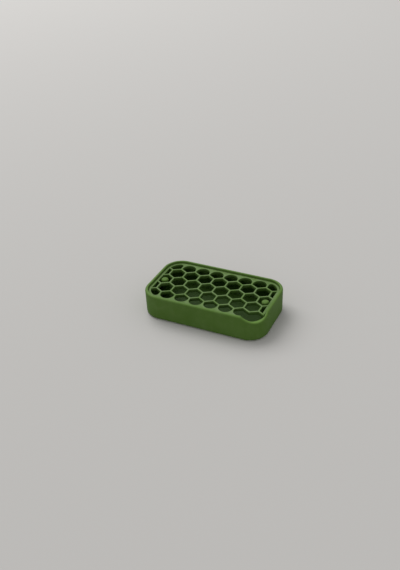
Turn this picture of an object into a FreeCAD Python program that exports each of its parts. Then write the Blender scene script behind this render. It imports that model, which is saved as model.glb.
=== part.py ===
import FreeCAD, Part
import math
import os

import Sketcher

Vector = FreeCAD.Vector

# Two-piece soap dish: a tray that collects water, a honeycomb grate that lifts out of it, four rubber feet.
# Frame: X along the length, -Y is the front, Z up; the origin is under the middle, on the surface it stands on.
# The rim is cut down to a pouring notch at the front right corner, and the grate is open there.

# Driving dimensions in millimetres, or in degrees where the name says angle.
dimensions = {
    # tray, measured at the top of its rim
    "tray_length": 118.0,
    "tray_width": 68.0,
    "tray_height": 23.5,
    "corner_radius": 17.4,
    "draft_angle": 0.6,
    "wall_thickness": 2.6,
    "floor_thickness": 2.3,
    "rim_outer_round": 1.5,
    "rim_inner_round": 0.45,
    "base_round": 2.0,
    "floor_round": 3.0,
    # ledge inside the wall that carries the grate, cut back behind the pouring notch
    "ledge_width": 1.5,
    # pouring notch: a level cylinder laid across the corner, its width measured at the rim
    "notch_width": 24.6,
    "notch_depth_share": 0.205,
    "notch_blend": 2.5,
    # step down from the notch's inner rounding to the ledge behind it
    "spout_step": 0.15,
    # round posts that stand on the tray's floor and reach up through the grate's end cells
    "post_diameter": 6.8,
    "post_round": 1.6,
    "post_clearance": 0.8,
    # grate
    "grate_recess": 1.95,
    "grate_thickness": 3.0,
    "grate_clearance": 0.25,
    "ring_width": 2.25,
    "ring_round": 0.4,
    "ring_end_inset": 3.6,
    "columns": 4,
    "row_share": 0.4255,
    "rib_width": 1.36,
    "arch_flat": 0.2,
    "cell_corner_round": 0.6,
    "corner_cell_round": 2.6,
    # rubber feet, each seated in a socket under the tray
    "foot_diameter": 10.0,
    "foot_thickness": 1.9,
    "foot_round": 0.5,
    "foot_inset": 15.0,
    "foot_fit": 0.05,
    "socket_depth": 1.2,
}

document = FreeCAD.newDocument("soap_dish")
sheet = document.addObject("Spreadsheet::Sheet", "sizes")
for row, (name, amount) in enumerate(dimensions.items(), start=1):
    sheet.set(f"A{row}", name)
    sheet.set(f"B{row}", str(amount))
    sheet.setAlias(f"B{row}", name)
document.recompute()

# Heights and outlines that more than one piece follows, worked out from the sheet.
baseHeight = "(sizes.foot_thickness - sizes.socket_depth)"
rimHeight = f"({baseHeight} + sizes.tray_height)"
floorHeight = f"({baseHeight} + sizes.floor_thickness)"
grateTop = f"({rimHeight} - sizes.grate_recess)"
ledgeHeight = f"({grateTop} - sizes.grate_thickness)"
wellLength = "(sizes.tray_length - 2 * sizes.wall_thickness)"
wellWidth = "(sizes.tray_width - 2 * sizes.wall_thickness)"
wellRadius = "(sizes.corner_radius - sizes.wall_thickness)"
cornerX = "(sizes.tray_length / 2 - sizes.corner_radius)"
cornerY = "(sizes.tray_width / 2 - sizes.corner_radius)"
notchDepth = "(sizes.notch_depth_share * sizes.notch_width)"
notchRadius = f"((sizes.notch_width ^ 2 / 4 + {notchDepth} ^ 2) / (2 * {notchDepth}))"
notchAxisHeight = f"({rimHeight} - {notchDepth} + {notchRadius})"
bendReach = f"({notchRadius} + sizes.notch_blend)"
notchBendX = f"sqrt({bendReach} ^ 2 - ({bendReach} - {notchDepth}) ^ 2)"
grateLength = f"({wellLength} - 2 * sizes.grate_clearance)"
grateWidth = f"({wellWidth} - 2 * sizes.grate_clearance)"
grateRadius = f"({wellRadius} - sizes.grate_clearance)"
ringInnerX = f"({grateLength} / 2 - sizes.ring_width)"
ringInnerY = f"({grateWidth} / 2 - sizes.ring_width)"
ringMiddleX = f"({grateLength} / 2 - sizes.ring_width / 2)"
ringMiddleY = f"({grateWidth} / 2 - sizes.ring_width / 2)"

# Honeycomb: pointed cells in five rows with upright ribs along Y. The columns are counted from the middle to
# the end cell, which goes round its post, and the cells take up the length and the width that this leaves.
endCellX = f"({ringInnerX} - sizes.post_clearance - sizes.post_diameter / 2)"
cellPitch = f"({endCellX} / (sizes.columns - 1 / 2))"
rowPitch = f"(sizes.row_share * {ringInnerY})"
cellSlope = f"(2 * {rowPitch} / (3 * {cellPitch}))"
halfRib = "(sizes.rib_width / 2)"
halfCell = f"({cellPitch} / 2 - {halfRib})"
cellPoint = f"(2 * {rowPitch} / 3 - {halfRib} * sqrt(1 + {cellSlope} ^ 2))"
cellShoulder = f"({cellPoint} - {halfCell} * {cellSlope})"
shoulderY = f"(2 * {rowPitch} - {cellShoulder})"
apexY = f"(2 * {rowPitch} - {cellPoint})"
archRadius = f"min({halfCell} - sizes.arch_flat; {ringInnerY} - {shoulderY} - sizes.cell_corner_round)"

# How close two coordinates of one place come out, and how far an edge may stray from the line it follows.
closeness = 1e-5
strayShare = 1 / 8

# The corner's diagonal, in degrees from the front.
diagonalAngle = 45


def number(expression):
    # The value of an expression, without its unit.
    result = sheet.evalExpression(str(expression))
    return getattr(result, "Value", result)


def newBody(label):
    # An empty body whose label names the sub-part.
    body = document.addObject("PartDesign::Body", label)
    body.Label = label
    return body


def newSketch(body, name, height="0", role="XY_Plane"):
    # A sketch on one of the body's own origin planes, moved along the plane's normal.
    plane = [item for item in body.Origin.OriginFeatures if item.Role == role][0]
    sketch = body.newObject("Sketcher::SketchObject", name)
    sketch.AttachmentSupport = [(plane, "")]
    sketch.MapMode = "FlatFace"
    sketch.setExpression("AttachmentOffset.Base.z", height)
    return sketch


def bind(sketch, kind, *arguments):
    # Adds a dimension to the sketch and ties it to the expression given last.
    *place, expression = arguments
    index = sketch.addConstraint(Sketcher.Constraint(kind, *place, number(expression)))
    sketch.setExpression(f"Constraints[{index}]", expression)


def bindPoint(sketch, geometry, vertex, x, y):
    # Fixes one point of a sketch line or arc by its distances from the sketch's origin.
    bind(sketch, "DistanceX", -1, 1, geometry, vertex, x)
    bind(sketch, "DistanceY", -1, 1, geometry, vertex, y)


def drawCircle(sketch, x, y, radius):
    # A circle placed from the sketch's origin.
    centre = Vector(number(x), number(y), 0)
    circle = sketch.addGeometry(Part.Circle(centre, Vector(0, 0, 1), number(radius)))
    bind(sketch, "Radius", circle, radius)
    bindPoint(sketch, circle, 3, x, y)


def drawArc(sketch, x, y, radius, start, sweep):
    # An arc about a centre, turning left from its start angle.
    circle = Part.Circle(Vector(x, y, 0), Vector(0, 0, 1), radius)
    first = math.radians(start)
    return sketch.addGeometry(Part.ArcOfCircle(circle, first, first + math.radians(sweep)))


def drawOutline(sketch, corners):
    # Closed outline of straight sides. Each corner is an x, a y and a radius, or None where it is sharp.
    places = [Vector(number(x), number(y), 0) for x, y, radius in corners]
    starts = []
    ends = []
    arcs = []
    for index, (_, _, radius) in enumerate(corners):
        here = places[index]
        towardsLast = (places[index - 1] - here).normalize()
        towardsNext = (places[(index + 1) % len(places)] - here).normalize()
        if radius is None:
            ends.append(here)
            starts.append(here)
            arcs.append(None)
            continue
        bend = number(radius)
        halfAngle = towardsLast.getAngle(towardsNext) / 2
        centre = here + (towardsLast + towardsNext).normalize() * (bend / math.sin(halfAngle))
        ends.append(here + towardsLast * (bend / math.tan(halfAngle)))
        starts.append(here + towardsNext * (bend / math.tan(halfAngle)))
        turnsLeft = towardsLast.cross(towardsNext).z < 0
        first, last = (ends[-1], starts[-1]) if turnsLeft else (starts[-1], ends[-1])
        middle = centre + (here - centre).normalize() * bend
        arc = sketch.addGeometry(Part.Arc(first, middle, last))
        arcs.append((arc, 1 if turnsLeft else 2, 2 if turnsLeft else 1))
    lines = []
    for index in range(len(corners)):
        line = Part.LineSegment(starts[index], ends[(index + 1) % len(corners)])
        lines.append(sketch.addGeometry(line))
    constraints = []
    formulas = {}

    def hold(kind, *place, formula=None):
        # Notes a constraint, with its value where a formula drives it.
        if formula is not None:
            formulas[len(constraints)] = formula
            place = (*place, number(formula))
        constraints.append(Sketcher.Constraint(kind, *place))

    sameRadius = {}
    for index, (x, y, radius) in enumerate(corners):
        before, after = lines[index - 1], lines[index]
        if radius is None:
            corner = after
            hold("Coincident", before, 2, after, 1)
        else:
            arc, arcStart, arcEnd = arcs[index]
            corner = sketch.addGeometry(Part.Point(places[index]), True)
            hold("Tangent", before, 2, arc, arcStart)
            hold("Tangent", arc, arcEnd, after, 1)
            hold("PointOnObject", corner, 1, before)
            hold("PointOnObject", corner, 1, after)
            if radius in sameRadius:
                hold("Equal", sameRadius[radius], arc)
            else:
                hold("Radius", arc, formula=radius)
                sameRadius[radius] = arc
        hold("DistanceX", -1, 1, corner, 1, formula=x)
        hold("DistanceY", -1, 1, corner, 1, formula=y)
    first = sketch.ConstraintCount
    sketch.addConstraint(constraints)
    for index, formula in formulas.items():
        sketch.setExpression(f"Constraints[{first + index}]", formula)


def drawRoundedRectangle(sketch, length, width, radius):
    # Four lines joined by tangent quarter arcs, centred on the sketch's origin.
    bend = number(radius)
    x = number(length) / 2 - bend
    y = number(width) / 2 - bend
    arcs = [
        drawArc(sketch, x, y, bend, 0, 90),
        drawArc(sketch, -x, y, bend, 90, 90),
        drawArc(sketch, -x, -y, bend, 180, 90),
        drawArc(sketch, x, -y, bend, 270, 90),
    ]
    lines = []
    for index, arc in enumerate(arcs):
        line = Part.LineSegment(sketch.getPoint(arc, 2), sketch.getPoint(arcs[(index + 1) % 4], 1))
        lines.append(sketch.addGeometry(line))
    for index, arc in enumerate(arcs):
        sketch.addConstraint(Sketcher.Constraint("Tangent", arc, 2, lines[index], 1))
        sketch.addConstraint(Sketcher.Constraint("Tangent", lines[index], 2, arcs[(index + 1) % 4], 1))
    for index in (0, 2):
        sketch.addConstraint(Sketcher.Constraint("Horizontal", lines[index]))
        sketch.addConstraint(Sketcher.Constraint("Vertical", lines[index + 1]))
    for arc in arcs[1:]:
        sketch.addConstraint(Sketcher.Constraint("Equal", arcs[0], arc))
    bind(sketch, "Radius", arcs[0], radius)
    bind(sketch, "DistanceY", -1, 1, lines[0], 1, f"{width} / 2")
    bind(sketch, "DistanceX", lines[1], 1, -1, 1, f"{length} / 2")
    bind(sketch, "DistanceY", lines[2], 1, -1, 1, f"{width} / 2")
    bind(sketch, "DistanceX", -1, 1, lines[3], 1, f"{length} / 2")


def addPad(body, sketch, length, downward=False):
    # Raises a sketch to a solid along its normal, or against it.
    pad = body.newObject("PartDesign::Pad", f"{sketch.Name}_pad")
    pad.Profile = sketch
    pad.setExpression("Length", length)
    pad.Reversed = downward
    sketch.Visibility = False
    document.recompute()
    return pad


def addPocket(body, sketch, depth=None, forward=False):
    # Cuts a sketch into the body against its normal, to a depth or right through.
    pocket = body.newObject("PartDesign::Pocket", f"{sketch.Name}_pocket")
    pocket.Profile = sketch
    pocket.Reversed = forward
    if depth:
        pocket.setExpression("Length", depth)
    else:
        pocket.Type = "ThroughAll"
    document.recompute()
    return pocket


def addRow(body, pocket, sketch, copies):
    # Repeats a pocket along X, one honeycomb cell apart.
    row = body.newObject("PartDesign::LinearPattern", f"{pocket.Name}_row")
    row.Originals = [pocket]
    row.Direction = (sketch, ["H_Axis"])
    row.setExpression("Length", f"({copies} - 1) * {cellPitch}")
    row.setExpression("Occurrences", copies)
    body.Tip = row
    document.recompute()
    return row


def addFillet(body, name, radius, chooses):
    # Rounds the edges of the body's last feature that the test chooses.
    base = body.Tip
    edges = [f"Edge{index}" for index, edge in enumerate(base.Shape.Edges, start=1) if chooses(edge)]
    fillet = body.newObject("PartDesign::Fillet", name)
    fillet.Base = (base, edges)
    fillet.setExpression("Radius", radius)
    document.recompute()
    return fillet


def along(edge):
    # The start, the middle and the end of an edge.
    first, last = edge.ParameterRange
    return [edge.valueAt(first + (last - first) * share) for share in (0, 0.5, 1)]


def isLevel(edge, height):
    # Whether an edge lies flat at a height.
    return max(abs(point.z - height) for point in along(edge)) < closeness


def isUpright(edge):
    # Whether an edge is a straight line along Z.
    start, middle, end = along(edge)
    return math.hypot(end.x - start.x, end.y - start.y) < closeness and abs(end.z - start.z) > closeness


def outlineDistance(point, length, width, radius):
    # How far a point lies outside a rounded rectangle, or inside it when negative.
    beyondX = abs(point.x) - (length / 2 - radius)
    beyondY = abs(point.y) - (width / 2 - radius)
    if beyondX > 0 and beyondY > 0:
        return math.hypot(beyondX, beyondY) - radius
    return max(beyondX, beyondY) - radius


def rimTopHeight(point):
    # Height of the rim's top at a place on the wall: level, and lower where the notch crosses the corner.
    radius = number(notchRadius)
    bend = number("sizes.notch_blend")
    bendX = number(notchBendX)
    fromCornerX = point.x - number(cornerX)
    fromCornerY = point.y + number(cornerY)
    across = abs(fromCornerX + fromCornerY) / math.sqrt(2)
    if fromCornerX < fromCornerY or across > bendX:
        return number(rimHeight)
    if across > bendX * radius / (radius + bend):
        return number(rimHeight) - bend + math.sqrt(bend**2 - (bendX - across) ** 2)
    return number(notchAxisHeight) - math.sqrt(radius**2 - across**2)


def runsAlongRim(length, width, radius):
    # A test for edges on top of the rim that follow an outline, down through the notch too.
    outline = [number(length), number(width), number(radius)]
    reach = strayShare * number("sizes.rim_inner_round")

    def isOnRim(point):
        return abs(outlineDistance(point, *outline)) < reach and abs(point.z - rimTopHeight(point)) < reach

    return lambda edge: all(isOnRim(point) for point in along(edge))


def drawNotch(sketch):
    # The notch seen along the diagonal: a round bottom that bends over into the level rim on each side.
    radius = number(notchRadius)
    bend = number("sizes.notch_blend")
    rim = number(rimHeight)
    axis = number(notchAxisHeight)
    bendX = number(notchBendX)
    lean = math.degrees(math.atan2(axis - rim + bend, bendX))
    bottom = drawArc(sketch, 0, axis, radius, 180 + lean, 180 - 2 * lean)
    right = drawArc(sketch, bendX, rim - bend, bend, 90, 90 - lean)
    left = drawArc(sketch, -bendX, rim - bend, bend, lean, 90 - lean)
    corners = [(bendX, rim), (bendX, rim + bend), (-bendX, rim + bend), (-bendX, rim)]
    places = [Vector(x, y, 0) for x, y in corners]
    rise, top, fall = [
        sketch.addGeometry(Part.LineSegment(start, end)) for start, end in zip(places, places[1:])
    ]
    sketch.addConstraint(
        [
            Sketcher.Constraint("Tangent", bottom, 2, right, 2),
            Sketcher.Constraint("Tangent", left, 1, bottom, 1),
            Sketcher.Constraint("Equal", right, left),
            Sketcher.Constraint("Coincident", right, 1, rise, 1),
            Sketcher.Constraint("Coincident", rise, 2, top, 1),
            Sketcher.Constraint("Coincident", top, 2, fall, 1),
            Sketcher.Constraint("Coincident", fall, 2, left, 2),
            Sketcher.Constraint("Vertical", rise),
            Sketcher.Constraint("Horizontal", top),
            Sketcher.Constraint("Vertical", fall),
            Sketcher.Constraint("Vertical", right, 3, right, 1),
            Sketcher.Constraint("Vertical", left, 3, left, 2),
        ]
    )
    bind(sketch, "Radius", bottom, notchRadius)
    bind(sketch, "Radius", right, "sizes.notch_blend")
    bindPoint(sketch, bottom, 3, "0", notchAxisHeight)
    bind(sketch, "DistanceY", -1, 1, right, 1, rimHeight)
    bind(sketch, "DistanceY", -1, 1, left, 2, rimHeight)
    bind(sketch, "DistanceY", rise, 1, rise, 2, "sizes.notch_blend")


def buildTray():
    # Thin-walled box with a ledge, a rounded rim, a pouring notch, two posts and four sockets underneath.
    body = newBody("tray")
    outline = newSketch(body, "tray_outline", rimHeight)
    drawRoundedRectangle(outline, "sizes.tray_length", "sizes.tray_width", "sizes.corner_radius")
    block = addPad(body, outline, "sizes.tray_height", downward=True)
    block.setExpression("TaperAngle", "-sizes.draft_angle")

    well = newSketch(body, "grate_well", rimHeight)
    drawRoundedRectangle(well, wellLength, wellWidth, wellRadius)
    addPocket(body, well, "sizes.grate_recess + sizes.grate_thickness")

    reservoir = newSketch(body, "reservoir", ledgeHeight)
    narrowing = "2 * sizes.ledge_width"
    reservoirLength = f"({wellLength} - {narrowing})"
    reservoirWidth = f"({wellWidth} - {narrowing})"
    drawRoundedRectangle(reservoir, reservoirLength, reservoirWidth, f"({wellRadius} - sizes.ledge_width)")
    addPocket(body, reservoir, f"{ledgeHeight} - {floorHeight}")
    floor = number(floorHeight)
    addFillet(body, "floor_bend", "sizes.floor_round", lambda edge: isLevel(edge, floor))

    for side, place in (("left", f"-{endCellX}"), ("right", endCellX)):
        post = newSketch(body, f"{side}_post", floorHeight)
        drawCircle(post, place, "0", "sizes.post_diameter / 2")
        addPad(body, post, f"{grateTop} - {floorHeight}")
    postTop = number(grateTop)
    addFillet(body, "post_bend", "sizes.post_round", lambda edge: isLevel(edge, postTop))

    spoutWell = newSketch(body, "spout_well", rimHeight)
    drawCircle(spoutWell, cornerX, f"-{cornerY}", wellRadius)
    addPocket(body, spoutWell, f"{notchDepth} + sizes.rim_inner_round + sizes.spout_step")

    notch = newSketch(body, "notch", "0", role="XZ_Plane")
    acrossCorner = FreeCAD.Rotation(Vector(0, 1, 0), diagonalAngle)
    notch.AttachmentOffset = FreeCAD.Placement(Vector(0, 0, 0), acrossCorner)
    notch.setExpression("AttachmentOffset.Base.x", cornerX)
    notch.setExpression("AttachmentOffset.Base.z", cornerY)
    drawNotch(notch)
    addPocket(body, notch, forward=True)

    followsOutside = runsAlongRim("sizes.tray_length", "sizes.tray_width", "sizes.corner_radius")
    addFillet(body, "rim_outer_bend", "sizes.rim_outer_round", followsOutside)
    addFillet(body, "rim_inner_bend", "sizes.rim_inner_round", runsAlongRim(wellLength, wellWidth, wellRadius))
    base = number(baseHeight)
    addFillet(body, "base_bend", "sizes.base_round", lambda edge: isLevel(edge, base))

    for name, x, y in footPlaces():
        socket = newSketch(body, f"{name}_socket", baseHeight)
        drawCircle(socket, x, y, "sizes.foot_diameter / 2 + sizes.foot_fit")
        addPocket(body, socket, "sizes.socket_depth", forward=True)
    return body


def footPlaces():
    # Each foot's name and the expressions for its centre.
    besideX = "(sizes.tray_length / 2 - sizes.foot_inset)"
    besideY = "(sizes.tray_width / 2 - sizes.foot_inset)"
    return [
        ("foot_front_left", f"-{besideX}", f"-{besideY}"),
        ("foot_front_right", besideX, f"-{besideY}"),
        ("foot_rear_left", f"-{besideX}", besideY),
        ("foot_rear_right", besideX, besideY),
    ]


def cellOutline(x, y):
    # The six corners of a whole cell, pointed along Y.
    corners = [
        (x, f"{y} - {cellPoint}"),
        (f"{x} + {halfCell}", f"{y} - {cellShoulder}"),
        (f"{x} + {halfCell}", f"{y} + {cellShoulder}"),
        (x, f"{y} + {cellPoint}"),
        (f"{x} - {halfCell}", f"{y} + {cellShoulder}"),
        (f"{x} - {halfCell}", f"{y} - {cellShoulder}"),
    ]
    return [(cornerAtX, cornerAtY, "sizes.cell_corner_round") for cornerAtX, cornerAtY in corners]


def archCellOutline(x, side):
    # An outer cell: pointed towards the middle, upright sides, and a round end beside the ring.
    # Side is 1 at the back of the grate and -1 at the front.
    return [
        (x, f"{side} * {apexY}", "sizes.cell_corner_round"),
        (f"{x} + {halfCell}", f"{side} * {shoulderY}", "sizes.cell_corner_round"),
        (f"{x} + {halfCell}", f"{side} * {ringInnerY}", archRadius),
        (f"{x} - {halfCell}", f"{side} * {ringInnerY}", archRadius),
        (f"{x} - {halfCell}", f"{side} * {shoulderY}", "sizes.cell_corner_round"),
    ]


def slopeY(x, peakX, peakY, side):
    # Where a cell's slanted side, falling away from its peak on one side, reaches a place along X.
    return f"({peakY} + {side} * abs({x} - {peakX}) * {cellSlope})"


def cornerCellOutline(sideX, sideY):
    # A corner cell before the ring closes it: its outer sides lie in the middle of the ring.
    x = f"{sideX} * {endCellX}"
    peakY = f"{sideY} * {apexY}"
    outerX = f"{sideX} * {ringMiddleX}"
    innerX = f"{sideX} * ({endCellX} - {halfCell})"
    return [
        (x, peakY, "sizes.cell_corner_round"),
        (outerX, slopeY(outerX, x, peakY, sideY), None),
        (outerX, f"{sideY} * {ringMiddleY}", None),
        (innerX, f"{sideY} * {ringMiddleY}", None),
        (innerX, f"{sideY} * {shoulderY}", "sizes.cell_corner_round"),
    ]


def endCellOutline(sideX):
    # The middle row's last cell, cut off by the ring.
    x = f"{sideX} * {endCellX}"
    innerX = f"{sideX} * ({endCellX} - {halfCell})"
    ringX = f"{sideX} * {ringInnerX}"
    return [
        (x, f"-{cellPoint}", "sizes.cell_corner_round"),
        (ringX, slopeY(ringX, x, f"-{cellPoint}", 1), None),
        (ringX, slopeY(ringX, x, cellPoint, -1), None),
        (x, cellPoint, "sizes.cell_corner_round"),
        (innerX, cellShoulder, "sizes.cell_corner_round"),
        (innerX, f"-{cellShoulder}", "sizes.cell_corner_round"),
    ]


def sliverCellOutline(sideX, sideY):
    # The narrow part of an inner row's last cell that the ring leaves open.
    x = f"{sideX} * sizes.columns * {cellPitch}"
    y = f"{sideY} * {rowPitch}"
    innerX = f"{sideX} * (sizes.columns * {cellPitch} - {halfCell})"
    ringX = f"{sideX} * {ringInnerX}"
    corners = [
        (innerX, f"{y} - {cellShoulder}"),
        (ringX, slopeY(ringX, x, f"{y} - {cellPoint}", 1)),
        (ringX, slopeY(ringX, x, f"{y} + {cellPoint}", -1)),
        (innerX, f"{y} + {cellShoulder}"),
    ]
    return [(cornerAtX, cornerAtY, None) for cornerAtX, cornerAtY in corners]


def spoutOpeningOutline():
    # Joins the front right corner cell to its neighbour and takes the ring away outside them.
    neighbourX = f"({endCellX} - {cellPitch})"
    ribX = f"({endCellX} - {cellPitch} / 2)"
    ringEndX = f"({cornerX} - sizes.ring_end_inset)"
    outsideX = "(sizes.tray_length / 2)"
    outsideY = "(-sizes.tray_width / 2)"
    peakY = f"-{apexY}"
    insideY = f"(-{shoulderY} - sizes.cell_corner_round)"
    leftX = f"({neighbourX} + {halfCell} / 2)"
    innerX = f"({endCellX} - {halfCell} / 2)"
    rightX = f"({endCellX} + {halfCell} / 2)"
    return [
        (ribX, slopeY(ribX, neighbourX, peakY, -1), "sizes.cell_corner_round"),
        (leftX, slopeY(leftX, neighbourX, peakY, -1), None),
        (ringEndX, insideY, None),
        (ringEndX, outsideY, None),
        (outsideX, outsideY, None),
        (outsideX, slopeY(outsideX, endCellX, peakY, -1), None),
        (rightX, slopeY(rightX, endCellX, peakY, -1), None),
        (endCellX, insideY, None),
        (innerX, slopeY(innerX, endCellX, peakY, -1), None),
    ]


def buildGrate():
    # Honeycomb plate with a ring round it, open at the front right corner over the pouring notch.
    body = newBody("grate")
    web = newSketch(body, "web", ledgeHeight)
    middleRadius = f"({grateRadius} - sizes.ring_width / 2)"
    drawRoundedRectangle(web, f"(2 * {ringMiddleX})", f"(2 * {ringMiddleY})", middleRadius)
    addPad(body, web, "sizes.grate_thickness")

    cornerCells = newSketch(body, "corner_cells", grateTop)
    for sideX in (-1, 1):
        for sideY in (-1, 1):
            drawOutline(cornerCells, cornerCellOutline(sideX, sideY))
    addPocket(body, cornerCells)

    ring = newSketch(body, "ring", ledgeHeight)
    drawRoundedRectangle(ring, grateLength, grateWidth, grateRadius)
    innerRadius = f"({grateRadius} - sizes.ring_width)"
    drawRoundedRectangle(ring, f"(2 * {ringInnerX})", f"(2 * {ringInnerY})", innerRadius)
    addPad(body, ring, "sizes.grate_thickness")
    ribSideX = number(endCellX) - number(halfCell)
    bendStartY = number(ringInnerY) - number("sizes.corner_cell_round")

    def meetsRingInCorner(edge):
        place = along(edge)[0]
        return isUpright(edge) and abs(abs(place.x) - ribSideX) < closeness and abs(place.y) > bendStartY

    addFillet(body, "corner_cell_bend", "sizes.corner_cell_round", meetsRingInCorner)

    top = number(grateTop)
    outline = [number(grateLength), number(grateWidth), number(grateRadius)]

    def followsRing(edge):
        start, middle, end = along(edge)
        return isLevel(edge, top) and abs(outlineDistance(middle, *outline)) < closeness

    addFillet(body, "ring_bend", "sizes.ring_round", followsRing)

    spout = newSketch(body, "spout_opening", grateTop)
    drawOutline(spout, spoutOpeningOutline())
    addPocket(body, spout)

    endCells = newSketch(body, "end_cells", grateTop)
    for sideX in (-1, 1):
        drawOutline(endCells, endCellOutline(sideX))
        for sideY in (-1, 1):
            drawOutline(endCells, sliverCellOutline(sideX, sideY))
    addPocket(body, endCells)

    secondX = f"({cellPitch} - {endCellX})"
    outerRows = newSketch(body, "outer_rows", grateTop)
    for side in (-1, 1):
        drawOutline(outerRows, archCellOutline(secondX, side))
    addRow(body, addPocket(body, outerRows), outerRows, "2 * sizes.columns - 2")

    innerRows = newSketch(body, "inner_rows", grateTop)
    firstX = f"((1 - sizes.columns) * {cellPitch})"
    for side in (-1, 1):
        drawOutline(innerRows, cellOutline(firstX, f"{side} * {rowPitch}"))
    addRow(body, addPocket(body, innerRows), innerRows, "2 * sizes.columns - 1")

    middleRow = newSketch(body, "middle_row", grateTop)
    drawOutline(middleRow, cellOutline(secondX, "0"))
    addRow(body, addPocket(body, middleRow), middleRow, "2 * sizes.columns - 2")
    return body


def buildFoot(name, x, y):
    # A short rubber disc with a rounded lower edge.
    body = newBody(name)
    profile = newSketch(body, f"{name}_disc")
    drawCircle(profile, "0", "0", "sizes.foot_diameter / 2")
    addPad(body, profile, "sizes.foot_thickness")
    addFillet(body, f"{name}_bend", "sizes.foot_round", lambda edge: isLevel(edge, 0))
    body.setExpression("Placement.Base.x", x)
    body.setExpression("Placement.Base.y", y)
    document.recompute()
    return body


tray = buildTray()
grate = buildGrate()
feet = [buildFoot(name, x, y) for name, x, y in footPlaces()]
pieces = [tray, grate, *feet]

# Nothing is written unless every object and every piece is sound.
document.recompute()
for item in document.Objects:
    if "Invalid" in item.State or "Error" in item.State:
        raise RuntimeError(f"{item.Label} failed: {item.State}")
for piece in pieces:
    if piece.Shape.isNull() or not piece.Shape.isValid() or len(piece.Shape.Solids) != 1:
        raise RuntimeError(f"{piece.Label} has no sound solid")

os.makedirs("parts", exist_ok=True)
for piece in pieces:
    piece.Shape.exportStep(f"parts/{piece.Label}.step")
    print(f"{piece.Label}: {piece.Shape.Volume:.0f} cubic millimetres")
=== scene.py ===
import math

import bpy
import numpy as np
from mathutils import Matrix, Vector

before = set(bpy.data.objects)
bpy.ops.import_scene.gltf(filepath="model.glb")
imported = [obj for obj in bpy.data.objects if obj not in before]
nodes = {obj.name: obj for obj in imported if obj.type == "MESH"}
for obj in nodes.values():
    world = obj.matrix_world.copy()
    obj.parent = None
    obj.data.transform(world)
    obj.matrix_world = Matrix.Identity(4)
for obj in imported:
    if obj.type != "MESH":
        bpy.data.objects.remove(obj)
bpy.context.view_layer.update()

scene = bpy.context.scene

# Camera: the bearing and elevation of its line of sight, its roll about that line, and its place
# along and beside it. Lens and sensor are in millimetres, the rest in metres.
cameraPlace = {
    "bearing": math.radians(26.552),
    "elevation": math.radians(33.01),
    "roll": math.radians(-2.561),
    "distance": 0.66167,
    "right": -0.013248,
    "up": 0.022659,
    "lens": 45.474,
    "sensor": 36.0,
    "nearest": 0.01,
    "farthest": 20.0,
}


def makeCamera(place):
    # Right, up and back are the sight line's own axes, turned about it by the roll.
    bearing, elevation, roll = place["bearing"], place["elevation"], place["roll"]
    back = Vector(
        (
            math.sin(bearing) * math.cos(elevation),
            -math.cos(bearing) * math.cos(elevation),
            math.sin(elevation),
        )
    )
    level = Vector((math.cos(bearing), math.sin(bearing), 0))
    upright = back.cross(level)
    right = level * math.cos(roll) + upright * math.sin(roll)
    up = upright * math.cos(roll) - level * math.sin(roll)
    camera = bpy.data.objects.new("camera", bpy.data.cameras.new("camera"))
    scene.collection.objects.link(camera)
    turn = Matrix((right, up, back)).transposed().to_4x4()
    where = right * place["right"] + up * place["up"] + back * place["distance"]
    camera.matrix_world = Matrix.Translation(where) @ turn
    camera.data.sensor_width = place["sensor"]
    camera.data.lens = place["lens"]
    camera.data.clip_start = place["nearest"]
    camera.data.clip_end = place["farthest"]
    return camera


scene.camera = makeCamera(cameraPlace)
print("camera placed")


# Helpers for node trees. Wherever one takes a value, it takes the socket of another node too.
def addNode(tree, kind, inputs=None, **settings):
    # A node with its settings and its named inputs filled in.
    node = tree.nodes.new(kind)
    for name, value in settings.items():
        setattr(node, name, value)
    for name, value in (inputs or {}).items():
        feed(tree, node.inputs[name], value)
    return node


def feed(tree, socket, value):
    # A socket is joined on, and a plain value is set on the socket itself.
    if isinstance(value, bpy.types.NodeSocket):
        tree.links.new(value, socket)
    else:
        socket.default_value = value


def calculate(tree, operation, *values, clamp=False):
    node = tree.nodes.new("ShaderNodeMath")
    node.operation = operation
    node.use_clamp = clamp
    for socket, value in zip(node.inputs, values):
        feed(tree, socket, value)
    return node.outputs[0]


def smoothBetween(tree, value, low, high):
    # 0 below low, 1 above high, and a smooth step in between.
    node = tree.nodes.new("ShaderNodeMapRange")
    node.interpolation_type = "SMOOTHSTEP"
    for name, amount in (("Value", value), ("From Min", low), ("From Max", high)):
        feed(tree, node.inputs[name], amount)
    return node.outputs["Result"]


def mixColours(tree, share, first, second, blend="MIX"):
    # The first colour where the share is 0, and the second, or its product with the first, where 1.
    node = tree.nodes.new("ShaderNodeMix")
    node.data_type = "RGBA"
    node.blend_type = blend
    feed(tree, node.inputs["Factor"], share)
    feed(tree, node.inputs["A"], first)
    feed(tree, node.inputs["B"], second)
    return node.outputs["Result"]


def splitAxes(tree, vector):
    return addNode(tree, "ShaderNodeSeparateXYZ", {"Vector": vector}).outputs


def noise(tree, position, scale, detail=2.0, roughness=0.5, distortion=0.0):
    # Cloudy noise from 0 to 1, with as many clouds in a metre as the scale says.
    inputs = {
        "Vector": position,
        "Scale": scale,
        "Detail": detail,
        "Roughness": roughness,
        "Distortion": distortion,
    }
    return addNode(tree, "ShaderNodeTexNoise", inputs).outputs["Fac"]


def newGroup(name, inputs, outputs):
    # A shader group whose sockets are given as name: (kind, value) and name: kind.
    group = bpy.data.node_groups.new(name, "ShaderNodeTree")
    for label, (kind, value) in inputs.items():
        socket = group.interface.new_socket(label, in_out="INPUT", socket_type=kind)
        if value is not None:
            socket.default_value = value
    for label, kind in outputs.items():
        group.interface.new_socket(label, in_out="OUTPUT", socket_type=kind)
    given = group.nodes.new("NodeGroupInput").outputs
    result = group.nodes.new("NodeGroupOutput").inputs
    return group, given, result


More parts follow.
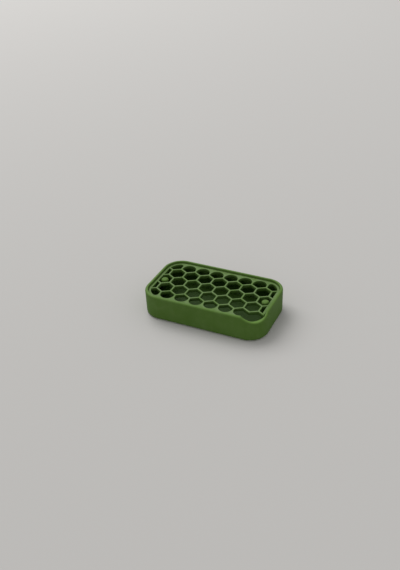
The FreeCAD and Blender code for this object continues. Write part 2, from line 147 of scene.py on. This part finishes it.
def useGroup(tree, group, inputs):
    return addNode(tree, "ShaderNodeGroup", inputs, node_tree=group).outputs


# The mould's texture. The coarse grain's scale is a share of the fine grain's, and both weights
# are heights beside a fine grain of 1.
grainPattern = {
    "coarseShare": 0.22,
    "coarseWeight": 0.6,
    "waveScale": 55.0,
    "waveWeight": 2.2,
    "toneScale": 38.0,
    "toneRange": (0.3, 0.7),
}


def makeMouldGrain(pattern):
    # The height is the fine grain of a spark-eroded mould, plus a coarser one, plus slow waves
    # where the plastic has shrunk. The tone is a slow cloud from 0 to 1.
    inputs = {"Position": ("NodeSocketVector", None), "Grain Scale": ("NodeSocketFloat", None)}
    outputs = {"Height": "NodeSocketFloat", "Tone": "NodeSocketFloat"}
    group, given, result = newGroup("mould grain", inputs, outputs)
    position = given["Position"]
    coarseScale = calculate(group, "MULTIPLY", given["Grain Scale"], pattern["coarseShare"])
    fine = noise(group, position, given["Grain Scale"], detail=3.0, roughness=0.6)
    coarse = noise(group, position, coarseScale)
    waves = noise(group, position, pattern["waveScale"], detail=1.0)
    grain = calculate(group, "MULTIPLY_ADD", coarse, pattern["coarseWeight"], fine)
    height = calculate(group, "MULTIPLY_ADD", waves, pattern["waveWeight"], grain)
    group.links.new(height, result["Height"])
    toneNoise = noise(
        group, position, pattern["toneScale"], detail=4.0, roughness=0.62, distortion=0.6
    )
    group.links.new(smoothBetween(group, toneNoise, *pattern["toneRange"]), result["Tone"])
    return group


# The rubbing along top edges: wide patches, and fine scuffs that add a share of their own.
rubPattern = {
    "patchScale": 130.0,
    "patchRange": (0.38, 0.66),
    "scuffScale": 900.0,
    "scuffRange": (0.45, 0.62),
    "scuffShare": 0.35,
}


def makeRubbedEdge(pattern):
    # A mask for edges that handling rubs: 1 less the depth below the top as a share of the given
    # depth, times the patches and scuffs.
    inputs = {
        "Position": ("NodeSocketVector", None),
        "Top": ("NodeSocketFloat", None),
        "Depth": ("NodeSocketFloat", None),
    }
    group, given, result = newGroup("rubbed edge", inputs, {"Mask": "NodeSocketFloat"})
    position = given["Position"]
    below = calculate(group, "SUBTRACT", given["Top"], splitAxes(group, position)["Z"])
    share = calculate(group, "DIVIDE", below, given["Depth"])
    near = calculate(group, "SUBTRACT", 1.0, share, clamp=True)
    patchNoise = noise(group, position, pattern["patchScale"], detail=5.0, roughness=0.65)
    patches = smoothBetween(group, patchNoise, *pattern["patchRange"])
    scuffNoise = noise(group, position, pattern["scuffScale"], detail=3.0, roughness=0.6)
    scuffs = smoothBetween(group, scuffNoise, *pattern["scuffRange"])
    worn = calculate(group, "MULTIPLY_ADD", scuffs, pattern["scuffShare"], patches)
    group.links.new(calculate(group, "MULTIPLY", near, worn, clamp=True), result["Mask"])
    return group


# The dried film: clouds, runs that are drawn out upwards, and a fine speckle.
filmPattern = {
    "cloudScale": 95.0,
    "runScale": 260.0,
    "runSquash": (1.0, 1.0, 0.12),
    "runWeight": 0.45,
    "edgeWidth": 0.42,
    "speckleScale": 1500.0,
    "speckleRange": (0.4, 0.7),
    "speckleShare": 0.5,
    "speckleHeight": 0.3,
}


def makeDriedFilm(pattern):
    # What hard water leaves as it dries: clouds plus runs, seen where they pass 1 less the cover,
    # and thinned between the speckles.
    inputs = {"Position": ("NodeSocketVector", None), "Cover": ("NodeSocketFloat", None)}
    outputs = {"Mask": "NodeSocketFloat", "Height": "NodeSocketFloat"}
    group, given, result = newGroup("dried film", inputs, outputs)
    position = given["Position"]
    clouds = noise(
        group, position, pattern["cloudScale"], detail=6.0, roughness=0.6, distortion=0.8
    )
    squash = {"Vector": position, "Scale": pattern["runSquash"]}
    drawnOut = addNode(group, "ShaderNodeMapping", squash).outputs["Vector"]
    runs = noise(group, drawnOut, pattern["runScale"], detail=3.0)
    both = calculate(group, "MULTIPLY_ADD", runs, pattern["runWeight"], clouds)
    edge = calculate(group, "SUBTRACT", 1.0, given["Cover"])
    film = smoothBetween(group, both, edge, calculate(group, "ADD", edge, pattern["edgeWidth"]))
    speckleNoise = noise(group, position, pattern["speckleScale"])
    speckle = smoothBetween(group, speckleNoise, *pattern["speckleRange"])
    share = pattern["speckleShare"]
    thinned = calculate(group, "MULTIPLY_ADD", speckle, share, 1.0 - share)
    group.links.new(calculate(group, "MULTIPLY", film, thinned, clamp=True), result["Mask"])
    height = calculate(group, "MULTIPLY_ADD", speckle, pattern["speckleHeight"], film)
    group.links.new(height, result["Height"])
    return group


# Measures of the tray that its finish follows, as the solids have them.
trayShape = {
    "halfLength": 0.059,
    "halfWidth": 0.034,
    "corner": 0.0174,
    "wall": 0.0026,
    "floor": 0.003,
    "ledge": 0.0193,
    "rim": 0.0242,
    "notchRadius": 0.0175215,
    "notchAxis": 0.0366785,
}


def makeRimHeight(shape):
    # Height of the rim's top over a point: level, or the lower side of a cylinder laid across the
    # front right corner. That side is the cylinder's axis height less the root of (radius squared
    # less the squared distance across the axis), and it counts only where it is below the level
    # rim and right of the diagonal through the corner's middle. Share is 0 at the level rim and 1
    # at the bottom of the notch.
    inputs = {
        "Position": ("NodeSocketVector", None),
        "Level": ("NodeSocketFloat", None),
        "Notch Radius": ("NodeSocketFloat", shape["notchRadius"]),
        "Notch Axis": ("NodeSocketFloat", shape["notchAxis"]),
        "Corner X": ("NodeSocketFloat", shape["halfLength"] - shape["corner"]),
        "Corner Y": ("NodeSocketFloat", shape["corner"] - shape["halfWidth"]),
    }
    outputs = {"Height": "NodeSocketFloat", "Share": "NodeSocketFloat"}
    group, given, result = newGroup("rim height", inputs, outputs)
    axes = splitAxes(group, given["Position"])
    fromX = calculate(group, "SUBTRACT", axes["X"], given["Corner X"])
    fromY = calculate(group, "SUBTRACT", axes["Y"], given["Corner Y"])
    both = calculate(group, "ADD", fromX, fromY)
    across = calculate(group, "ABSOLUTE", calculate(group, "MULTIPLY", both, math.sqrt(0.5)))
    acrossSquared = calculate(group, "POWER", across, 2.0)
    radiusSquared = calculate(group, "POWER", given["Notch Radius"], 2.0)
    rest = calculate(group, "SUBTRACT", radiusSquared, acrossSquared)
    root = calculate(group, "SQRT", calculate(group, "MAXIMUM", rest, 0.0))
    lowSide = calculate(group, "SUBTRACT", given["Notch Axis"], root)
    below = calculate(group, "SUBTRACT", given["Level"], lowSide)
    drop = calculate(group, "MAXIMUM", below, 0.0)
    atCorner = calculate(group, "GREATER_THAN", fromX, fromY)
    cut = calculate(group, "MULTIPLY", drop, atCorner)
    bottom = calculate(group, "SUBTRACT", given["Notch Axis"], given["Notch Radius"])
    deepest = calculate(group, "SUBTRACT", given["Level"], bottom)
    group.links.new(calculate(group, "SUBTRACT", given["Level"], cut), result["Height"])
    group.links.new(calculate(group, "DIVIDE", cut, deepest), result["Share"])
    return group


# Where the inside of the tray starts, as a share of its wall and of its floor, and the depth
# below the ledge over which it ends.
insideEdge = {"wallShare": 0.5, "floorShare": 0.6, "fade": 0.004}


def makeInsideTray(shape, edge):
    # A mask for the inside of the tray: 1 on the reservoir's floor and walls, fading out up to the
    # ledge. Beyond is how far a point lies past the corner's middle along each axis, seen from
    # above. The distance to the outline is the length of what is positive in it, or else the
    # larger of the two, less the corner's radius.
    inputs = {
        "Position": ("NodeSocketVector", None),
        "Half Length": ("NodeSocketFloat", shape["halfLength"]),
        "Half Width": ("NodeSocketFloat", shape["halfWidth"]),
        "Corner": ("NodeSocketFloat", shape["corner"]),
        "Wall": ("NodeSocketFloat", shape["wall"]),
        "Floor": ("NodeSocketFloat", shape["floor"]),
        "Ledge": ("NodeSocketFloat", shape["ledge"]),
    }
    group, given, result = newGroup("inside the tray", inputs, {"Mask": "NodeSocketFloat"})
    axes = splitAxes(group, given["Position"])
    beyond = []
    for axis, half in (("X", "Half Length"), ("Y", "Half Width")):
        cornerMiddle = calculate(group, "SUBTRACT", given[half], given["Corner"])
        offset = calculate(group, "ABSOLUTE", axes[axis])
        beyond.append(calculate(group, "SUBTRACT", offset, cornerMiddle))
    outside = [calculate(group, "MAXIMUM", side, 0.0) for side in beyond]
    squares = [calculate(group, "POWER", side, 2.0) for side in outside]
    pastCorner = calculate(group, "SQRT", calculate(group, "ADD", *squares))
    pastSide = calculate(group, "MINIMUM", calculate(group, "MAXIMUM", *beyond), 0.0)
    past = calculate(group, "ADD", pastCorner, pastSide)
    distance = calculate(group, "SUBTRACT", past, given["Corner"])
    inWall = calculate(group, "MULTIPLY", given["Wall"], -edge["wallShare"])
    withinWall = calculate(group, "LESS_THAN", distance, inWall)
    inFloor = calculate(group, "MULTIPLY", given["Floor"], edge["floorShare"])
    overFloor = calculate(group, "GREATER_THAN", axes["Z"], inFloor)
    fadeStart = calculate(group, "SUBTRACT", given["Ledge"], edge["fade"])
    high = smoothBetween(group, axes["Z"], fadeStart, given["Ledge"])
    low = calculate(group, "SUBTRACT", 1.0, high)
    inside = calculate(group, "MULTIPLY", withinWall, overFloor)
    group.links.new(calculate(group, "MULTIPLY", inside, low), result["Mask"])
    return group


mouldGrain = makeMouldGrain(grainPattern)
rubbedEdge = makeRubbedEdge(rubPattern)
driedFilm = makeDriedFilm(filmPattern)
rimHeight = makeRimHeight(trayShape)
insideTray = makeInsideTray(trayShape, insideEdge)
print("shared finishes made")


def startMaterial(name):
    # A material with its tree, its surface shader, and the position on the object.
    material = bpy.data.materials.new(name)
    material.use_nodes = True
    tree = material.node_tree
    shader = next(node for node in tree.nodes if node.type == "BSDF_PRINCIPLED")
    position = tree.nodes.new("ShaderNodeTexCoord").outputs["Object"]
    return material, tree, shader, position


def raiseSurface(tree, height, depth, under=None):
    # A bump of a real depth in metres, over another bump where one is given.
    node = addNode(tree, "ShaderNodeBump", {"Height": height, "Strength": 1.0, "Distance": depth})
    if under is not None:
        tree.links.new(under, node.inputs["Normal"])
    return node.outputs["Normal"]


def facingUp(tree, slanted=0.25, level=0.9):
    # 0 on faces whose normal rises less than slanted says, 1 where it rises as level says.
    normal = tree.nodes.new("ShaderNodeTexCoord").outputs["Normal"]
    return smoothBetween(tree, splitAxes(tree, normal)["Z"], slanted, level)


def belowHeight(tree, position, top, depth, start=0.2):
    # 0 down to the start, a share of the depth below the top, and 1 from the whole depth down.
    height = splitAxes(tree, position)["Z"]
    above = smoothBetween(tree, height, top - depth, top - depth * start)
    return calculate(tree, "SUBTRACT", 1.0, above)


def mouldedPlastic(name, finish):
    # Satin green plastic. Its colour drifts with the grain's tone, rubbed top edges are paler and
    # smoother, a dried film clouds it, and level tops get more film, partly as painted light. Wet
    # parts are smoother, and their darker colour is painted shade. Where the finish has a notch,
    # rubbing follows the rim down into it, and its paler lip is a painted highlight.
    material, tree, shader, position = startMaterial(name)
    graining = {"Position": position, "Grain Scale": finish["grainScale"]}
    grain = useGroup(tree, mouldGrain, graining)
    film = useGroup(tree, driedFilm, {"Position": position, "Cover": finish["filmCover"]})
    upward = facingUp(tree)
    top = finish["top"]
    if "notchHighlight" in finish:
        rim = useGroup(tree, rimHeight, {"Position": position, "Level": top})
        top = rim["Height"]
        # Painted highlight: the notch's level lip is made paler.
        lipHighlight = calculate(tree, "MULTIPLY", rim["Share"], upward)
        lipHighlightShare = calculate(tree, "MULTIPLY", lipHighlight, finish["notchHighlight"])
    wear = {"Position": position, "Top": top, "Depth": finish["wearDepth"]}
    worn = useGroup(tree, rubbedEdge, wear)["Mask"]
    # Below the grate's top, this mask darkens the colour as painted shade.
    if "wetAndShadeDepth" in finish:
        wetAndShade = belowHeight(tree, position, finish["top"], finish["wetAndShadeDepth"])
    else:
        # Inside the reservoir, this mask darkens the colour as painted shade.
        wetAndShade = useGroup(tree, insideTray, {"Position": position})["Mask"]

    wornShare = calculate(tree, "MULTIPLY", worn, finish["wearStrength"])
    # Partly painted light: more film on level tops makes them paler than the sides.
    filmAmount = calculate(tree, "MULTIPLY_ADD", upward, finish["filmAndLightOnTop"], finish["filmAmount"])
    filmAndLightShare = calculate(tree, "MULTIPLY", film["Mask"], filmAmount, clamp=True)
    wetAndShadeShare = calculate(tree, "MULTIPLY", wetAndShade, finish["wetAndShadeStrength"])

    colour = mixColours(tree, grain["Tone"], finish["colour"], finish["colourDrift"])
    colour = mixColours(tree, wornShare, colour, finish["wornColour"])
    colour = mixColours(tree, filmAndLightShare, colour, finish["filmColour"])
    if "notchHighlight" in finish:
        colour = mixColours(tree, lipHighlightShare, colour, finish["notchHighlightColour"])
    # Painted shade: the wet parts' colour is multiplied darker.
    colour = mixColours(tree, wetAndShadeShare, colour, finish["paintedShadeTint"], blend="MULTIPLY")
    tree.links.new(colour, shader.inputs["Base Color"])

    rough = calculate(
        tree, "MULTIPLY_ADD", grain["Tone"], finish["roughnessDrift"], finish["roughness"]
    )
    rough = calculate(tree, "MULTIPLY_ADD", worn, -finish["wearPolish"], rough)
    rough = calculate(tree, "MULTIPLY_ADD", filmAndLightShare, finish["filmDulls"], rough)
    rough = calculate(tree, "MULTIPLY_ADD", wetAndShadeShare, -finish["wetPolish"], rough, clamp=True)
    tree.links.new(rough, shader.inputs["Roughness"])
    shader.inputs["Specular IOR Level"].default_value = finish["specular"]

    softened = addNode(tree, "ShaderNodeBevel", {"Radius": finish["edgeRound"]}, samples=4)
    grained = raiseSurface(
        tree, grain["Height"], finish["grainDepth"], under=softened.outputs["Normal"]
    )
    filmed = raiseSurface(tree, film["Height"], finish["filmDepth"], under=grained)
    tree.links.new(filmed, shader.inputs["Normal"])
    return material


# The tray's green plastic, with a painted highlight on the notch's lip, and wet in the reservoir,
# where painted shade darkens it.
trayFinish = {
    "colour": (0.070, 0.140, 0.021, 1),
    "colourDrift": (0.079, 0.154, 0.026, 1),
    "roughness": 0.54,
    "roughnessDrift": 0.06,
    "specular": 0.12,
    "grainScale": 2600.0,
    "grainDepth": 0.00001,
    "edgeRound": 0.00025,
    "top": trayShape["rim"],
    "wearDepth": 0.0016,
    "wearStrength": 0.12,
    "wearPolish": 0.08,
    "wornColour": (0.13, 0.22, 0.05, 1),
    # Painted highlight on the notch's lip.
    "notchHighlight": 0.48,
    "notchHighlightColour": (0.15, 0.27, 0.055, 1),
    "filmCover": 0.42,
    "filmAmount": 0.10,
    "filmAndLightOnTop": 0.0,
    "filmDulls": 0.6,
    "filmDepth": 0.000006,
    "filmColour": (0.28, 0.35, 0.19, 1),
    # Painted shade in the reservoir, with its wet polish.
    "wetAndShadeStrength": 0.9,
    "wetPolish": 0.10,
    "paintedShadeTint": (0.22, 0.29, 0.17, 1),
}
trayPlastic = mouldedPlastic("tray_plastic", trayFinish)

# The grate's plastic: the same green, greyer on its level top, partly as painted light, and wet
# from a little below it, where painted shade darkens the sides.
grateFinish = {
    "colour": (0.066, 0.132, 0.021, 1),
    "colourDrift": (0.076, 0.146, 0.027, 1),
    "roughness": 0.56,
    "roughnessDrift": 0.06,
    "specular": 0.12,
    "grainScale": 2600.0,
    "grainDepth": 0.00001,
    "edgeRound": 0.00025,
    "top": 0.02225,
    "wearDepth": 0.0009,
    "wearStrength": 0.22,
    "wearPolish": 0.08,
    "wornColour": (0.13, 0.22, 0.05, 1),
    "filmCover": 0.55,
    "filmAmount": 0.06,
    # Partly painted light: extra film on level tops.
    "filmAndLightOnTop": 0.20,
    "filmDulls": 0.6,
    "filmDepth": 0.000006,
    "filmColour": (0.30, 0.35, 0.25, 1),
    # Painted shade below the grate's top, with its wet polish.
    "wetAndShadeDepth": 0.0022,
    "wetAndShadeStrength": 0.9,
    "wetPolish": 0.06,
    "paintedShadeTint": (0.42, 0.50, 0.36, 1),
}
gratePlastic = mouldedPlastic("grate_plastic", grateFinish)

# The feet's rubber.
footFinish = {
    "colour": (0.045, 0.047, 0.045, 1),
    "roughness": 0.62,
    "roughnessDrift": 0.14,
    "grainScale": 3200.0,
    "grainDepth": 0.000018,
    "dustCover": 0.5,
    "dustStrength": 0.3,
    "dustColour": (0.16, 0.155, 0.14, 1),
}


def softRubber(name, finish):
    # Dull dark rubber: its roughness drifts with the grain's tone, and pale dust lies in patches.
    material, tree, shader, position = startMaterial(name)
    graining = {"Position": position, "Grain Scale": finish["grainScale"]}
    grain = useGroup(tree, mouldGrain, graining)
    dust = useGroup(tree, driedFilm, {"Position": position, "Cover": finish["dustCover"]})
    dustShare = calculate(tree, "MULTIPLY", dust["Mask"], finish["dustStrength"])
    colour = mixColours(tree, dustShare, finish["colour"], finish["dustColour"])
    tree.links.new(colour, shader.inputs["Base Color"])
    rough = calculate(
        tree, "MULTIPLY_ADD", grain["Tone"], finish["roughnessDrift"], finish["roughness"]
    )
    tree.links.new(rough, shader.inputs["Roughness"])
    grained = raiseSurface(tree, grain["Height"], finish["grainDepth"])
    tree.links.new(grained, shader.inputs["Normal"])
    return material


footRubber = softRubber("foot_rubber", footFinish)


def dress(node, material):
    for slot in nodes[node].material_slots:
        slot.material = material


dress("tray", trayPlastic)
dress("grate", gratePlastic)
for name in sorted(nodes):
    if name.startswith("foot_"):
        dress(name, footRubber)
print("tray, grate and feet dressed")

# Floor and light: a level pale floor, an even light from all round, and one wide lamp. The
# camera sees the floor as floorShown, and it throws light on the dish as floorColour. The reach
# is just under twice the gap beneath the tray.
stageSetting = {
    "floorSize": 6.0,
    "floorPoints": 3,
    "floorShown": (0.50, 0.49, 0.475, 1),
    "floorColour": (0.40, 0.40, 0.39, 1),
    "floorRoughness": 0.3,
    "underReach": 0.0013,
    "worldColour": (1, 1, 1, 1),
    "worldLight": 0.62,
    "lampSize": 2.6,
    "lampHeight": 2.6,
    "lampShift": (-1.8, 1.0),
    "lampPower": 90.0,
}


def makeFloor(setting):
    # A square grid of points at height 0, each face from four neighbours. It is clear when the
    # camera looks at it from below, and for light that goes from the underside to the floor right
    # beneath it, so that the underside can be seen.
    half, count = setting["floorSize"] / 2, setting["floorPoints"]
    steps = np.linspace(-half, half, count)
    x, y = np.meshgrid(steps, steps)
    points = np.stack([x.ravel(), y.ravel(), np.zeros(x.size)], axis=1)
    rows, columns = np.meshgrid(np.arange(count - 1), np.arange(count - 1), indexing="ij")
    first = (rows * count + columns).ravel()
    faces = np.stack([first, first + 1, first + count + 1, first + count], axis=1)
    mesh = bpy.data.meshes.new("floor")
    mesh.from_pydata(points.tolist(), [], faces.tolist())
    floor = bpy.data.objects.new("floor", mesh)
    scene.collection.objects.link(floor)

    material = bpy.data.materials.new("pale_floor")
    material.use_nodes = True
    tree = material.node_tree
    tree.nodes.clear()
    path = addNode(tree, "ShaderNodeLightPath").outputs
    seen = path["Is Camera Ray"]
    behind = addNode(tree, "ShaderNodeNewGeometry").outputs["Backfacing"]
    near = calculate(tree, "LESS_THAN", path["Ray Length"], setting["underReach"])
    under = calculate(tree, "MULTIPLY", near, path["Is Diffuse Ray"])
    fromBelow = calculate(tree, "MULTIPLY", seen, behind)
    unseen = calculate(tree, "MAXIMUM", fromBelow, under)
    colour = mixColours(tree, seen, setting["floorColour"], setting["floorShown"])
    matt = {"Color": colour, "Roughness": setting["floorRoughness"]}
    solid = addNode(tree, "ShaderNodeBsdfDiffuse", matt).outputs[0]
    clear = addNode(tree, "ShaderNodeBsdfTransparent").outputs[0]
    either = addNode(tree, "ShaderNodeMixShader", {"Fac": unseen})
    tree.links.new(solid, either.inputs[1])
    tree.links.new(clear, either.inputs[2])
    addNode(tree, "ShaderNodeOutputMaterial", {"Surface": either.outputs[0]})
    mesh.materials.append(material)
    return floor


def makeWorld(setting):
    # One even pale light from all round.
    world = bpy.data.worlds.new("studio")
    world.use_nodes = True
    tree = world.node_tree
    background = next(node for node in tree.nodes if node.type == "BACKGROUND")
    background.inputs["Color"].default_value = setting["worldColour"]
    background.inputs["Strength"].default_value = setting["worldLight"]
    scene.world = world


def makeLamp(setting):
    # One wide square lamp high up behind the dish and to its left, aimed at the dish.
    lamp = bpy.data.objects.new("softbox", bpy.data.lights.new("softbox", "AREA"))
    lamp.data.shape = "SQUARE"
    lamp.data.size = setting["lampSize"]
    lamp.data.energy = setting["lampPower"]
    lamp.location = (*setting["lampShift"], setting["lampHeight"])
    lamp.rotation_euler = (-lamp.location).to_track_quat("-Z", "Y").to_euler()
    scene.collection.objects.link(lamp)


makeFloor(stageSetting)
makeWorld(stageSetting)
makeLamp(stageSetting)
scene.view_settings.view_transform = "Standard"
print("floor and light made")
